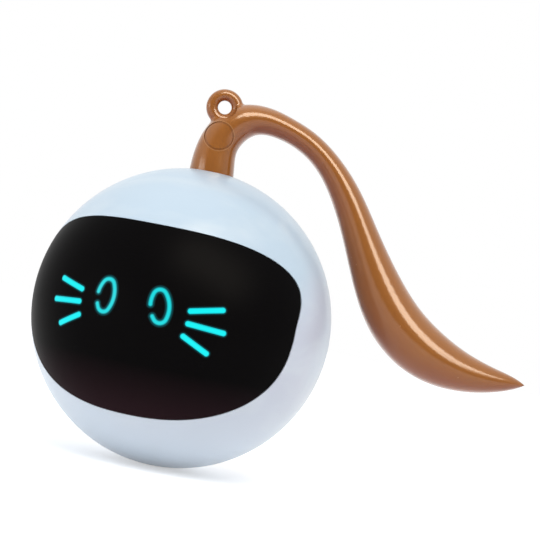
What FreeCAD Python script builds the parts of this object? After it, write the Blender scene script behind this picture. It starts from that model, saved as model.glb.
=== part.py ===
import FreeCAD, Part
import math
import os

# A self-rolling cat ball. A motor inside swings an off-centre weight round a sideways axle, and
# the ball rolls after it. The front carries a smoked visor with a lit cat face, and a tail plugs
# into the top, where it can turn.
#
# Lengths are millimetres and angles are degrees. The model is worked out about the ball's centre
# with +X to the viewer's right, -Y to the front and +Z up through the tail's neck. Every piece
# is saved ball_r higher, so the frame's origin is the spot on which the ball rests.

V = FreeCAD.Vector
X, Y, Z = V(1, 0, 0), V(0, 1, 0), V(0, 0, 1)
CENTRE = V(0, 0, 0)

# Ball and shells
ball_r = 35.0
shell_wall = 2.2
lip_wall = 0.85
lip_height = 1.2
lip_clearance = 0.1

# Visor: its outline is two halves of superellipses, seen from the front
visor_side = 64.9           # azimuth of its widest place, at either side
visor_middle = 2.6          # elevations of that place, the top and the bottom
visor_top = 33.9
visor_bottom = -40.4
upper_squareness = 3.36
lower_squareness = 2.37
outline_points = 56
visor_wall = 1.6
visor_gap = 0.12            # open joint round the visor
visor_ledge = 1.8           # the floor under the visor runs this far under the shell

# Lit face
tunnel_clearance = 0.15     # play of a light guide in the shell and the baffle
eye_half_width = 2.05       # to the middle of the stroke
eye_half_height = 3.6
eye_stroke = 1.06
eye_end_r = 1.5             # of the middle line at the oval's top and bottom
eye_gap = 2.6               # opening in the ring, from stroke end to stroke end
eye_gap_z = -0.8
eyes = [(-10.4, 3.45, 0.0), (10.4, 3.45, 12.0)]      # azimuth, elevation and lean of each
whisker_stroke = 1.25
whiskers = [                # azimuth and elevation of the inner and the outer end
    ((21.3, 3.9), (32.65, 6.4)),
    ((21.3, -0.6), (34.4, -1.5)),
    ((20.5, -5.25), (29.9, -9.7)),
]

# Face board, its diodes and the light baffle
face_board_depth = 11.5     # front face of the board, behind the ball's front
face_board_wall = 1.2
face_board_half_x = 18.4
face_board_half_z = 8.2
face_board_corner = 3.0
led_x, led_y, led_z = 2.0, 1.0, 1.2
led_clearance = 0.2
baffle_clearance = 0.2
face_screw_inset = 1.6       # from the board's upper and lower edges
face_screws_at = [(13.0, 1), (7.0, -1)]              # x, and which edge
small_screw_r = 0.8
small_head_r = 1.5
small_head_height = 1.1
small_screw_bite = 4.5
face_boss_r = 2.0

# Screws that hold the two shells and the chassis together
shell_screw_x = 17.0
shell_screw_inset = 5.4      # from the inside of the shell
shell_screw_r = 1.05
shell_screw_bite = 8.0
shell_head_r = 2.2
shell_head_height = 1.6
shell_head_y = 6.5
screw_clearance = 0.15
well_clearance = 0.3
front_boss_r = 2.8
rear_boss_r = 3.6

# Tail socket in the top of the shells
neck_r = 5.2
neck_clearance = 0.1
collar_r = 7.0
collar_depth = 4.2          # its top under the ball's top
collar_height = 2.2
pilot_r = 4.0
pilot_depth = 8.8
socket_r = 9.2
socket_depth = 9.6

# Tail: the loop, the mark on the neck, and the body's sections, with heights from the ball's top
tail_turn = 18.7            # how far the tail is swung back from straight sideways
loop_height = 15.35
loop_outer_r = 4.35
loop_bore_r = 1.6
loop_core_r = 1.5           # hole of the round ring before it is reamed to loop_bore_r
loop_fillet = 0.8           # where the ring runs into the arm
mark_height = 8.2
mark_r = 3.45
mark_groove = 0.45
mark_depth = 0.15
tail_section_points = 16
tail_tip = (82.5, -34.65)
# Middle of each section (out, up), the way the tail runs there, its thickness and its width
tail_sections = [
    ((0.0, -5.2), 90.0, 10.4, 10.4),
    ((0.0, -2.0), 90.0, 10.4, 10.4),
    ((-0.05, 1.5), 90.0, 10.25, 10.3),
    ((0.1, 5.6), 86.0, 9.5, 9.8),
    ((1.6, 9.6), 68.0, 9.1, 9.4),
    ((4.4, 12.6), 38.0, 8.3, 9.0),
    ((8.6, 14.1), 9.0, 6.9, 8.2),
    ((15.0, 13.4), -14.0, 5.8, 7.6),
    ((21.4, 10.9), -29.0, 5.65, 7.6),
    ((26.8, 6.9), -44.0, 6.0, 8.0),
    ((31.2, 1.9), -53.0, 6.9, 8.6),
    ((37.8, -8.6), -59.5, 8.7, 9.8),
    ((43.2, -17.7), -58.0, 11.0, 11.4),
    ((49.4, -25.8), -46.0, 12.7, 12.8),
    ((57.7, -31.7), -26.0, 12.4, 12.6),
    ((67.2, -34.5), -9.0, 9.3, 10.0),
    ((75.6, -34.95), 0.0, 5.4, 6.2),
    ((80.6, -34.7), 3.0, 2.1, 2.6),
]

# Drive: axle along X through the ball's centre
axle_r = 1.5
axle_flat = 1.1             # the flats of its D-shaped stretches lie this far from the axis
axle_end_right = 7.9
bush_wall = 1.1
bush_clearance = 0.05
bush_flange_r = 3.5
bush_flange = 0.5
hub_r = 4.2
hub_half = 6.0
weight_inner_r = 7.0
weight_half_angle = 70.0
weight_half_width = 5.0
weight_bevel = 1.0
carrier_half_angle = 48.0
carrier_reach = 15.0
carrier_half_width = 1.2
slot_play = 0.05
slot_inner_r = 0.5
rivet_r = 1.1
rivet_at_r = 11.5
rivet_angle = 28.0
rivet_head_r = 1.9
rivet_head = 0.5

# Chassis frame
plate_inner_x = 6.6
plate_wall = 1.4
plate_rim = 0.1              # of the side plates beyond the bars
plate_clearance = 0.3        # to the heads of the face board's screws
bar_wall = 2.2
bar_clearance = 0.5
bar_board_gap = 1.1
bar_half_width = 4.0
ear_half_y = 1.0
ear_half_z = 2.6
ear_round = 2.4
window_r = 4.0
window_rim = 2.2             # of the plate outside each window
window_angle = 134.5

# Gear train: three equal stages folded back onto the axle's line
module = 0.5
pressure_angle = 20.0
pinion_teeth = 10
wheel_teeth = 36
tooth_shift = 0.38
addendum = 0.9
dedendum = 1.25
backlash = 0.07
wheel_angle_1 = -30.0       # where the compound gears stand round the axle
wheel_angle_2 = 30.0
gear_width = 1.8
gear_gap = 0.4
pin_r = 0.75
pin_clearance = 0.05
gear_boss_r = 1.6
gear_end_play = 0.15

# Gearbox cover and motor
cover_wall = 1.2
cover_clearance = 0.5
cover_screw_r = 0.8
cover_head_r = 1.4
cover_ear_r = 2.2
motor_r = 6.0
motor_flat = 5.0
motor_end_clearance = 1.3    # from its terminals to the shell
motor_cap_length = 1.9
motor_cap_inset = 0.3
motor_cap_bump = 0.6
motor_boss_r = 2.0
motor_boss = 1.0
motor_shaft_r = 0.5
shaft_clearance = 0.08
sleeve_clearance = 0.1
sleeve_wall = 1.0
sleeve_length = 7.5
terminal_x, terminal_y, terminal_z = 1.6, 0.3, 1.5
terminal_at_z = 3.6

# Battery
cell_x, cell_y, cell_z = 6.0, 25.0, 30.0
cell_round = 1.6
cell_clearance = 0.3
pad_wall = 0.6
tray_wall = 1.2
tray_height = 3.6
tray_notch_play = 0.5
strap_wall = 0.8
strap_half_z = 5.0
strap_foot = 4.0

# Main board with its button, switch and charging port
main_board_wall = 1.2
main_board_half_x = 15.5
main_board_half_z = 10.6
main_board_corner = 2.0
board_screw_inset = 2.35     # from the board's edges
board_boss_r = 1.9
button_z = 8.0
button_r = 3.6
button_clearance = 0.12
button_proud = 0.4
button_flange_r = 4.4
button_flange = 1.0
button_flange_play = 0.15    # from its rim to the inside of the shell
button_pad_r = 5.6
button_stem_r = 1.4
button_stem = 0.9
button_travel = 0.5
button_seat_gap = 0.1
plunger_r = 1.0
plunger_rise = 0.7           # above the switch
plunger_play = 0.1
switch_half = 3.0
switch_height = 1.8
port_z = -8.0
port_half_x = 4.47
port_half_z = 1.63
port_wall = 0.3
port_mouth_depth = 1.8       # its open end behind the ball's rear
port_clearance = 0.25
port_recess = 1.1
port_recess_depth = 0.7
tongue_half_x = 3.3
tongue_half_z = 0.35
tongue_length = 5.2
chips = [((-6.5, -1.0), (4.0, 1.0, 4.0)), ((6.8, 3.6), (2.6, 0.9, 3.4)),
         ((7.0, -3.4), (3.2, 1.2, 2.0)), ((-6.0, 5.6), (1.6, 0.7, 1.0))]

# Worked out from the sizes above
reach = 2 * ball_r          # half size of the boxes that cut shells and pieces in two
shell_inner_r = ball_r - shell_wall
visor_half_width = ball_r * math.sin(math.radians(visor_side))
visor_mid_z = ball_r * math.sin(math.radians(visor_middle))
visor_top_z = ball_r * math.sin(math.radians(visor_top))
visor_bottom_z = ball_r * math.sin(math.radians(visor_bottom))
face_board_y = ball_r - face_board_depth
shell_screw_z = math.sqrt((shell_inner_r - shell_screw_inset) ** 2 - shell_screw_x ** 2)
collar_top_z = ball_r - collar_depth
pilot_bottom_z = ball_r - pilot_depth
socket_bottom_z = ball_r - socket_depth
loop_z = ball_r + loop_height
mark_z = ball_r + mark_height
button_flange_y = math.sqrt((shell_inner_r - button_flange_play) ** 2
                            - (button_z + button_flange_r) ** 2)
plunger_top_y = button_flange_y - button_flange - button_stem
switch_top_y = plunger_top_y - plunger_rise
main_board_y = switch_top_y - switch_height
port_length = ball_r - port_mouth_depth - main_board_y
board_screw_x = main_board_half_x - board_screw_inset
board_screw_z = main_board_half_z - board_screw_inset
bar_outer = main_board_y - main_board_wall - bar_board_gap
bar_inner = bar_outer - bar_wall
weight_outer_r = bar_inner - bar_clearance
plate_r = bar_outer + plate_rim
plate_front_y = face_board_wall + small_head_height + plate_clearance - face_board_y
floor_r = ball_r - visor_wall
floor_inner_r = floor_r - shell_wall
guide_base_y = face_board_y + led_y + led_clearance
plate_outer_x = plate_inner_x + plate_wall
bush_r = axle_r + bush_clearance
gear_distance = module * (pinion_teeth + wheel_teeth) / 2
gear_pitch_x = gear_width + gear_gap
gear_plane_x = [-(plate_outer_x + gear_gap + i * gear_pitch_x + gear_width) for i in range(3)]
cover_x = gear_plane_x[2] - gear_gap
motor_x = cover_x - cover_wall
wheel_tip_r = module * wheel_teeth / 2 + module * (addendum - tooth_shift)
gearbox_r = wheel_tip_r + cover_clearance
cell_low_x = plate_outer_x + pad_wall
terminal_end_x = math.sqrt((shell_inner_r - motor_end_clearance) ** 2
                           - (terminal_at_z + terminal_z / 2) ** 2)
motor_length = terminal_end_x + motor_x - motor_cap_length - terminal_x


def box(x, y, z):
    """Block between the low and high value given for each axis."""
    return Part.makeBox(x[1] - x[0], y[1] - y[0], z[1] - z[0], V(x[0], y[0], z[0]))


def rod(radius, start, end):
    """Round bar between two points."""
    return Part.makeCylinder(radius, (end - start).Length, start, end - start)


def pipe(outer, inner, start, end):
    return rod(outer, start, end).cut(rod(inner, start, end))


def along_y(radius, x, z, start, end):
    return rod(radius, V(x, start, z), V(x, end, z))


def along_x(radius, y, z, start, end):
    return rod(radius, V(start, y, z), V(end, y, z))


def ball(radius):
    return Part.makeSphere(radius)


def fuse_all(shapes):
    whole = shapes[0]
    if len(shapes) > 1:
        whole = whole.multiFuse(shapes[1:])
    return whole.removeSplitter()


def front_half():
    return box((-reach, reach), (-reach, 0), (-reach, reach))


def rear_half():
    return box((-reach, reach), (0, reach), (-reach, reach))


def polygon_face(points):
    return Part.Face(Part.makePolygon(points + [points[0]]))


def rounded_slab(half_x, half_z, corner, y_low, y_high, z_mid=0.0):
    """Flat board across Y with rounded corners."""
    slab = box((-half_x, half_x), (y_low, y_high), (z_mid - half_z, z_mid + half_z))
    upright = [e for e in slab.Edges if abs(e.tangentAt(e.FirstParameter).y) > 0.99]
    return slab.makeFillet(corner, upright)


def signed_power(value, power):
    return math.copysign(abs(value) ** power, value)


def save(name, shape):
    """Writes one node, lifted so that the ball rests on the frame's origin."""
    piece = shape.copy()
    piece.translate(V(0, 0, ball_r))
    if not piece.isValid():
        print("not valid:", name)
    piece.exportStep(os.path.join("parts", name + ".step"))
    print(name, "solids", len(piece.Solids), "volume", round(piece.Volume, 2))


# Visor and shells


def face_cone(inset):
    """Cone from the ball's centre through the visor's outline, drawn in by inset."""
    half_width = visor_half_width - inset
    rays = []
    for i in range(outline_points):
        turn = 2 * math.pi * i / outline_points
        upper = math.sin(turn) >= 0
        square = upper_squareness if upper else lower_squareness
        limit = visor_top_z if upper else visor_bottom_z
        half_height = abs(limit - visor_mid_z) - inset
        x = half_width * signed_power(math.cos(turn), 2 / square)
        z = visor_mid_z + half_height * signed_power(math.sin(turn), 2 / square)
        depth = math.sqrt(ball_r ** 2 - x ** 2 - z ** 2)
        rays.append((x / depth, z / depth))
    wires = []
    for depth in (ball_r * 0.1, ball_r * 1.1):
        curve = Part.BSplineCurve()
        curve.interpolate([V(x * depth, -depth, z * depth) for x, z in rays], PeriodicFlag=True)
        wires.append(Part.Wire(curve.toShape()))
    return Part.makeLoft(wires, True, True)


def tail_bore():
    """Space of the tail's plug inside the shells, with its running clearance."""
    grow = neck_clearance
    collar_low = collar_top_z - collar_height
    return fuse_all([
        rod(neck_r + grow, V(0, 0, collar_top_z), V(0, 0, ball_r + 1)),
        rod(collar_r + grow, V(0, 0, collar_low - grow), V(0, 0, collar_top_z + grow)),
        rod(pilot_r + grow, V(0, 0, socket_bottom_z - 1), V(0, 0, collar_low)),
    ])


def tail_socket():
    block = rod(socket_r, V(0, 0, socket_bottom_z), V(0, 0, ball_r))
    return block.common(ball(ball_r - shell_wall / 2))


def screw_places():
    return [(sx * shell_screw_x, sz * shell_screw_z) for sx in (-1, 1) for sz in (-1, 1)]


def lip(clearance):
    """Ring inside the wall where the front shell enters the rear one."""
    outer = shell_inner_r + lip_wall + clearance
    ring = pipe(outer, shell_inner_r, V(0, -1, 0), V(0, lip_height + clearance, 0))
    gap = rod(socket_r + lip_wall - clearance, V(0, 0, 0), V(0, 0, ball_r))
    return ring.cut(gap)


def face_screw_places():
    z = face_board_half_z - face_screw_inset
    return [(side * x, edge * z) for x, edge in face_screws_at for side in (-1, 1)]


def front_shell():
    shell = ball(ball_r).cut(ball(shell_inner_r)).common(front_half())
    floor = ball(floor_r).cut(ball(floor_inner_r)).common(face_cone(-visor_ledge))
    extra = [floor.common(front_half()), tail_socket().common(front_half()), lip(0)]
    inside = ball(ball_r - shell_wall / 2)
    for x, z in screw_places():
        extra.append(along_y(front_boss_r, x, z, -ball_r, -ear_half_y).common(inside))
    inside = ball((floor_r + floor_inner_r) / 2)
    for x, z in face_screw_places():
        extra.append(along_y(face_boss_r, x, z, -ball_r, -face_board_y).common(inside))
    shell = shell.multiFuse(extra)
    for x, z in screw_places():
        shell = shell.cut(along_y(shell_screw_r, x, z, -shell_screw_bite - 1, 0))
    for x, z in face_screw_places():
        end = -face_board_y - small_screw_bite
        shell = shell.cut(along_y(small_screw_r, x, z, end, -face_board_y))
    recess = face_cone(0).cut(ball(floor_r))
    return shell.cut([recess, tail_bore()] + face_strokes(tunnel_clearance))


def rear_shell():
    shell = ball(ball_r).cut(ball(shell_inner_r)).common(rear_half())
    inside = ball(ball_r - shell_wall / 2)
    extra = [tail_socket().common(rear_half())]
    for x, z in screw_places():
        extra.append(along_y(rear_boss_r, x, z, ear_half_y, ball_r).common(inside))
    for x in (-board_screw_x, board_screw_x):
        for z in (-board_screw_z, board_screw_z):
            extra.append(along_y(board_boss_r, x, z, main_board_y, ball_r).common(inside))
    pad_y = button_flange_y + button_seat_gap
    extra.append(along_y(button_pad_r, 0, button_z, pad_y, ball_r).common(inside))
    shell = shell.multiFuse(extra)
    cuts = [tail_bore(), lip(lip_clearance)]
    for x, z in screw_places():
        cuts.append(along_y(shell_screw_r + screw_clearance, x, z, 0, shell_head_y))
        cuts.append(along_y(shell_head_r + well_clearance, x, z, shell_head_y, ball_r))
    for x in (-board_screw_x, board_screw_x):
        for z in (-board_screw_z, board_screw_z):
            end = main_board_y + small_screw_bite
            cuts.append(along_y(small_screw_r, x, z, main_board_y, end))
    cuts.append(along_y(button_r + button_clearance, 0, button_z, main_board_y, ball_r + 1))
    cuts.append(port_slab(port_clearance, main_board_y, ball_r + 1))
    recess = port_slab(port_recess + port_clearance, main_board_y, ball_r + 1)
    cuts.append(recess.cut(ball(ball_r - port_recess_depth)))
    return shell.cut(cuts)


def visor():
    lens = ball(ball_r).cut(ball(ball_r - visor_wall)).common(face_cone(visor_gap))
    return lens.cut(face_strokes(0))


# Lit face


def facing(azimuth, elevation):
    """Outward, rightward and upward directions of a spot on the ball's front."""
    az, el = math.radians(azimuth), math.radians(elevation)
    out = V(math.sin(az) * math.cos(el), -math.cos(az) * math.cos(el), math.sin(el))
    right = V(math.cos(az), math.sin(az), 0)
    return out, right, out.cross(right)


def stroke_prism(face, out):
    """Stands a flat outline at the ball's centre up to beyond its surface."""
    prism = face.extrude(out * (ball_r * 1.1))
    return prism.common(box((-reach, reach), (-reach, -guide_base_y), (-reach, reach)))


def whisker_prism(ends, grow):
    half = whisker_stroke / 2 + grow
    first, last = [facing(*end)[0] * ball_r for end in ends]
    out, right, up = facing(*[(a + b) / 2 for a, b in zip(*ends)])
    flat_first = right * first.dot(right) + up * first.dot(up)
    flat_last = right * last.dot(right) + up * last.dot(up)
    run = (flat_last - flat_first).normalize()
    side = out.cross(run) * half
    edges = [
        Part.makeLine(flat_first + side, flat_last + side),
        Part.Arc(flat_last + side, flat_last + run * half, flat_last - side).toShape(),
        Part.makeLine(flat_last - side, flat_first - side),
        Part.Arc(flat_first - side, flat_first - run * half, flat_first + side).toShape(),
    ]
    return stroke_prism(Part.Face(Part.Wire(edges)), out)


def eye_arcs():
    """Middle line of an eye: an oval of four tangent arcs, open at the viewer's left.

    Each stretch is its centre, its radius and the angles where it starts and ends."""
    end_z = eye_half_height - eye_end_r
    side_r = (eye_half_width ** 2 + end_z ** 2 - eye_end_r ** 2) / (2 * (eye_half_width - eye_end_r))
    side_x = side_r - eye_half_width
    join = math.degrees(math.atan2(end_z, side_x))
    gap_top, gap_low = [180 - math.degrees(math.asin((eye_gap_z + way * eye_gap / 2) / side_r))
                        for way in (1, -1)]
    return [
        ((side_x, 0), side_r, gap_top, 180 - join),
        ((0, end_z), eye_end_r, 180 - join, join),
        ((-side_x, 0), side_r, join, -join),
        ((0, -end_z), eye_end_r, -join, join - 180),
        ((side_x, 0), side_r, join - 180, gap_low - 360),
    ]


def eye_prism(azimuth, elevation, lean, grow):
    """Open oval ring with rounded ends."""
    half = eye_stroke / 2 + grow
    out, right, up = facing(azimuth, elevation)
    tilt = math.radians(lean)
    across = right * math.cos(tilt) + up * math.sin(tilt)
    along = up * math.cos(tilt) - right * math.sin(tilt)

    def spot(middle, radius, turn):
        turn = math.radians(turn)
        return (across * (middle[0] + radius * math.cos(turn))
                + along * (middle[1] + radius * math.sin(turn)))

    arcs = eye_arcs()
    edges = []
    for side in (half, -half):
        for middle, radius, start, end in arcs:
            turns = (start, (start + end) / 2, end)
            edges.append(Part.Arc(*[spot(middle, radius + side, turn) for turn in turns]).toShape())
    first, last = arcs[0], arcs[-1]
    for (middle, radius), turn, way in ((first[:2], first[2], 90), (last[:2], last[3], -90)):
        tip = spot(middle, radius, turn)
        outward = spot(middle, radius + half, turn) - tip
        onward = spot((0, 0), half, turn + way)
        edges.append(Part.Arc(tip + outward, tip + onward, tip - outward).toShape())
    return stroke_prism(Part.Face(Part.Wire(Part.__sortEdges__(edges))), out)


def mirrored_ends(ends, side):
    return [(side * azimuth, elevation) for azimuth, elevation in ends]


def eye_strokes(grow):
    return [eye_prism(azimuth, elevation, lean, grow) for azimuth, elevation, lean in eyes]


def whisker_strokes(grow):
    return [whisker_prism(mirrored_ends(ends, side), grow) for side in (-1, 1) for ends in whiskers]


def face_strokes(grow):
    return eye_strokes(grow) + whisker_strokes(grow)


def light_guides(strokes):
    return Part.makeCompound([stroke.common(ball(ball_r)) for stroke in strokes])


def led_places():
    """One diode under each whisker and two under each eye, as (x, z) on the board."""
    spots = []
    for azimuth, elevation, lean in eyes:
        out, right, up = facing(azimuth, elevation)
        for way in (-1, 1):
            spots.append(out * (guide_base_y / -out.y) + up * (way * eye_half_height))
    for side in (-1, 1):
        for ends in whiskers:
            middle = [(a + b) / 2 for a, b in zip(*mirrored_ends(ends, side))]
            out = facing(*middle)[0]
            spots.append(out * (guide_base_y / -out.y))
    return [(spot.x, spot.z) for spot in spots]


def led_block(x, z, grow):
    return box((x - led_x / 2 - grow, x + led_x / 2 + grow),
               (-face_board_y - led_y - grow, -face_board_y),
               (z - led_z / 2 - grow, z + led_z / 2 + grow))


def face_leds():
    return Part.makeCompound([led_block(x, z, 0) for x, z in led_places()])


def light_baffle():
    block = rounded_slab(face_board_half_x, face_board_half_z, face_board_corner,
                         -ball_r, -face_board_y)
    block = block.common(ball(floor_inner_r - baffle_clearance))
    cuts = face_strokes(tunnel_clearance)
    cuts += [led_block(x, z, led_clearance) for x, z in led_places()]
    cuts += [along_y(face_boss_r + baffle_clearance, x, z, -ball_r, 0) for x, z in face_screw_places()]
    return block.cut(cuts)


def face_board():
    back = face_board_wall - face_board_y
    board = rounded_slab(face_board_half_x, face_board_half_z, face_board_corner,
                         -face_board_y, back)
    holes = [along_y(small_screw_r + screw_clearance, x, z, -ball_r, 0) for x, z in face_screw_places()]
    return board.cut(holes)


def small_screw(x, z, head_y, way):
    """Screw along Y whose head sits at head_y and whose shank runs way, +1 or -1."""
    length = small_screw_bite + face_board_wall - screw_clearance
    head = along_y(small_head_r, x, z, head_y - way * small_head_height, head_y)
    return head.fuse(along_y(small_screw_r, x, z, head_y, head_y + way * length)).removeSplitter()


def face_screws():
    head_y = face_board_wall - face_board_y
    return Part.makeCompound([small_screw(x, z, head_y, -1) for x, z in face_screw_places()])


# Tail


def tail_section(place, direction, thickness, width):
    """Closed oval section across the way the tail runs."""
    along = V(math.cos(math.radians(direction)), 0, math.sin(math.radians(direction)))
    back = V(-along.z, 0, along.x)
    points = []
    for i in range(tail_section_points):
        turn = 2 * math.pi * (i + 0.5) / tail_section_points
        middle = V(place[0], 0, ball_r + place[1])
        side = Y * (width / 2 * math.cos(turn))
        points.append(middle + side + back * (thickness / 2 * math.sin(turn)))
    curve = Part.BSplineCurve()
    curve.interpolate(points, PeriodicFlag=True)
    return Part.Wire(curve.toShape())


def tail_plug():
    collar_low = collar_top_z - collar_height
    return [
        rod(collar_r, V(0, 0, collar_low), V(0, 0, collar_top_z)),
        rod(pilot_r, V(0, 0, pilot_bottom_z), V(0, 0, collar_low)),
    ]


def tail_arm():
    """The bent body from inside the collar to the tip."""
    wires = [tail_section(*section) for section in tail_sections]
    tip = Part.Vertex(V(tail_tip[0], 0, ball_r + tail_tip[1]))
    return Part.makeLoft(wires + [tip], True, False)


def with_loop(arm):
    """Lets the hanging loop into the top of the arm, with a fillet where they meet."""
    ring_r = (loop_outer_r - loop_core_r) / 2
    loop_r = loop_core_r + ring_r
    ring = Part.makeTorus(loop_r, ring_r, V(0, 0, loop_z), Y)
    body = arm.cut(along_y(loop_r, 0, loop_z, -neck_r * 2, neck_r * 2)).fuse(ring)
    seams = []
    for edge in body.Edges:
        sides = [face.Surface.TypeId for face in body.ancestorsOfType(edge, Part.Face)]
        if sorted(sides) == ["Part::GeomBSplineSurface", "Part::GeomToroid"]:
            seams.append(edge)
    body = body.makeFillet(loop_fillet, seams)
    return body.cut(along_y(loop_bore_r, 0, loop_z, -loop_outer_r, loop_outer_r))


def mark_ring():
    """Shallow groove round the mark on the front of the neck."""
    ring = pipe(mark_r, mark_r - mark_groove, V(0, -neck_r * 2, mark_z), V(0, 0, mark_z))
    core = Part.makeLoft([tail_section(place, way, thick - 2 * mark_depth, wide - 2 * mark_depth)
                          for place, way, thick, wide in tail_sections[1:7]], True, False)
    return ring.cut(core)


def tail():
    body = with_loop(tail_arm()).multiFuse(tail_plug()).cut(mark_ring())
    body.rotate(CENTRE, Z, tail_turn)
    return body


# Gears


def involute(angle):
    return math.tan(angle) - angle


def gear_face(teeth, shift, x, centre, phase):
    """Outline of an involute gear in the plane at x, one tooth standing at phase."""
    pitch_r = module * teeth / 2
    base_r = pitch_r * math.cos(math.radians(pressure_angle))
    tip_r = pitch_r + module * (addendum + shift)
    root_r = pitch_r - module * (dedendum - shift)
    pressure = math.radians(pressure_angle)
    half_tooth = (math.pi / 2 + 2 * shift * math.tan(pressure)) / teeth - backlash / 4 / pitch_r

    def spot(radius, angle):
        return V(x, centre[0] + radius * math.cos(angle), centre[1] + radius * math.sin(angle))

    def half_angle(radius):
        return half_tooth + involute(pressure) - involute(math.acos(min(1.0, base_r / radius)))

    middle_r = (base_r + tip_r) / 2
    edges = []
    for i in range(teeth):
        axis = phase + 2 * math.pi * i / teeth
        flanks = []
        for way in (-1, 1):
            turns = [axis + way * half_angle(r) for r in (base_r, middle_r, tip_r)]
            flanks.append([spot(root_r, turns[0])] + [spot(r, a) for r, a in
                          zip((base_r, middle_r, tip_r), turns)])
        low, high = flanks
        edges.append(Part.makeLine(low[0], low[1]))
        edges.append(Part.Arc(low[1], low[2], low[3]).toShape())
        edges.append(Part.makeLine(low[3], high[3]))
        edges.append(Part.Arc(high[3], high[2], high[1]).toShape())
        edges.append(Part.makeLine(high[1], high[0]))
        following = axis + 2 * math.pi / teeth - half_angle(base_r)
        edges.append(Part.makeLine(high[0], spot(root_r, following)))
    return Part.Face(Part.Wire(edges))


def wheel(plane, centre, phase):
    face = gear_face(wheel_teeth, -tooth_shift, gear_plane_x[plane], centre, phase)
    return face.extrude(X * gear_width)


def pinion(plane, centre, phase):
    face = gear_face(pinion_teeth, tooth_shift, gear_plane_x[plane], centre, phase)
    return face.extrude(X * gear_width)


def meshed_phase(teeth, phase, direction, other_teeth):
    """Phase of the other gear, so that its teeth stand in the first gear's gaps."""
    turned = teeth * (phase - direction)
    return direction + math.pi + (math.pi - turned) / other_teeth


def axis_of(angle):
    turn = math.radians(angle)
    return (gear_distance * math.cos(turn), gear_distance * math.sin(turn))


def direction(start, end):
    return math.atan2(end[1] - start[1], end[0] - start[0])


MIDDLE = (0.0, 0.0)
AXIS_1 = axis_of(wheel_angle_1)
AXIS_2 = axis_of(wheel_angle_2)
PHASE_2 = meshed_phase(wheel_teeth, 0.0, direction(MIDDLE, AXIS_2), pinion_teeth)
PHASE_1 = meshed_phase(wheel_teeth, PHASE_2, direction(AXIS_2, AXIS_1), pinion_teeth)
PHASE_ROTOR = meshed_phase(wheel_teeth, PHASE_1, direction(AXIS_1, MIDDLE), pinion_teeth)


def d_shape(start, end):
    """The axle's D-shaped stretch, which its gear and hub are bored to."""
    bar = along_x(axle_r, 0, 0, start, end)
    return bar.cut(box((start, end), (-axle_r, axle_r), (axle_flat, axle_r + 1)))


def output_gear():
    gear = wheel(0, MIDDLE, 0.0)
    boss = along_x(bush_r + bush_wall, 0, 0, gear_plane_x[0], -plate_outer_x - gear_end_play)
    return gear.fuse(boss).cut(d_shape(gear_plane_x[0] - 1, -plate_outer_x)).removeSplitter()


def compound_gear(centre, wheel_plane, phase, boss):
    """Wheel and pinion in one moulding, with a boss out to the wall that it runs against."""
    y, z = centre
    gear = wheel(wheel_plane, centre, phase).fuse(pinion(wheel_plane - 1, centre, phase))
    gear = gear.fuse(along_x(gear_boss_r, y, z, boss[0], boss[1]))
    bore = along_x(pin_r + pin_clearance, y, z, cover_x - 1, -plate_outer_x + 1)
    return gear.cut(bore).removeSplitter()


def compound_gear_1():
    run = (gear_plane_x[2], -plate_outer_x - gear_end_play)
    return compound_gear(AXIS_1, 2, PHASE_1, run)


def compound_gear_2():
    run = (cover_x + gear_end_play, gear_plane_x[0] + gear_width)
    return compound_gear(AXIS_2, 1, PHASE_2, run)


def motor_pinion():
    gear = pinion(2, MIDDLE, PHASE_ROTOR)
    return gear.cut(along_x(motor_shaft_r, 0, 0, cover_x, 0))


def motor_shaft():
    return along_x(motor_shaft_r, 0, 0, motor_x - motor_boss, gear_plane_x[2] + gear_width)


def gear_pins():
    pins = []
    for y, z in (AXIS_1, AXIS_2):
        pins.append(along_x(pin_r, y, z, cover_x - cover_wall / 2, -plate_inner_x))
    return Part.makeCompound(pins)


# Motor and gearbox cover


def motor_section(grow, start, end):
    bar = along_x(motor_r + grow, 0, 0, start, end)
    flat = motor_flat + grow
    return bar.common(box((start, end), (-flat, flat), (-reach, reach)))


def drive_motor():
    can = motor_section(0, motor_x - motor_length, motor_x)
    can = can.fuse(along_x(motor_boss_r, 0, 0, motor_x, motor_x + motor_boss))
    hole = along_x(motor_shaft_r + shaft_clearance, 0, 0, motor_x - motor_boss - 1, 0)
    return can.cut(hole).removeSplitter()


def motor_end_cap():
    end = motor_x - motor_length
    cap = motor_section(-motor_cap_inset, end - motor_cap_length, end)
    bump = along_x(motor_boss_r, 0, 0, end - motor_cap_length - motor_cap_bump, end)
    return cap.fuse(bump).removeSplitter()


def motor_terminals():
    end = motor_x - motor_length - motor_cap_length
    tabs = []
    for side in (-1, 1):
        tabs.append(box((end - terminal_x, end), (-terminal_y / 2, terminal_y / 2),
                        (side * terminal_at_z - terminal_z / 2, side * terminal_at_z + terminal_z / 2)))
    return Part.makeCompound(tabs)


def rounded_triangle(radius, start, end):
    """Outline at a distance from the three gear axes, stood up along X."""
    corners = [V(start, *MIDDLE), V(start, *AXIS_1), V(start, *AXIS_2)]
    core = polygon_face(corners).extrude(X * (end - start))
    pieces = [core]
    for i, corner in enumerate(corners):
        following = corners[(i + 1) % 3]
        side = (following - corner).cross(X).normalize() * radius
        wall = polygon_face([corner, following, following + side, corner + side])
        pieces.append(wall.extrude(X * (end - start)))
        pieces.append(along_x(radius, corner.y, corner.z, start, end))
    return fuse_all(pieces)


def cover_screw_places():
    """In front of the axle, and outside the middles of the two sides that start there."""
    out = gearbox_r + cover_wall + cover_screw_r
    places = [(-out, 0.0)]
    for axis, way in ((AXIS_1, -1), (AXIS_2, 1)):
        turn = direction(MIDDLE, axis) + way * math.pi / 2
        places.append((axis[0] / 2 + out * math.cos(turn), axis[1] / 2 + out * math.sin(turn)))
    return places


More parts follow.
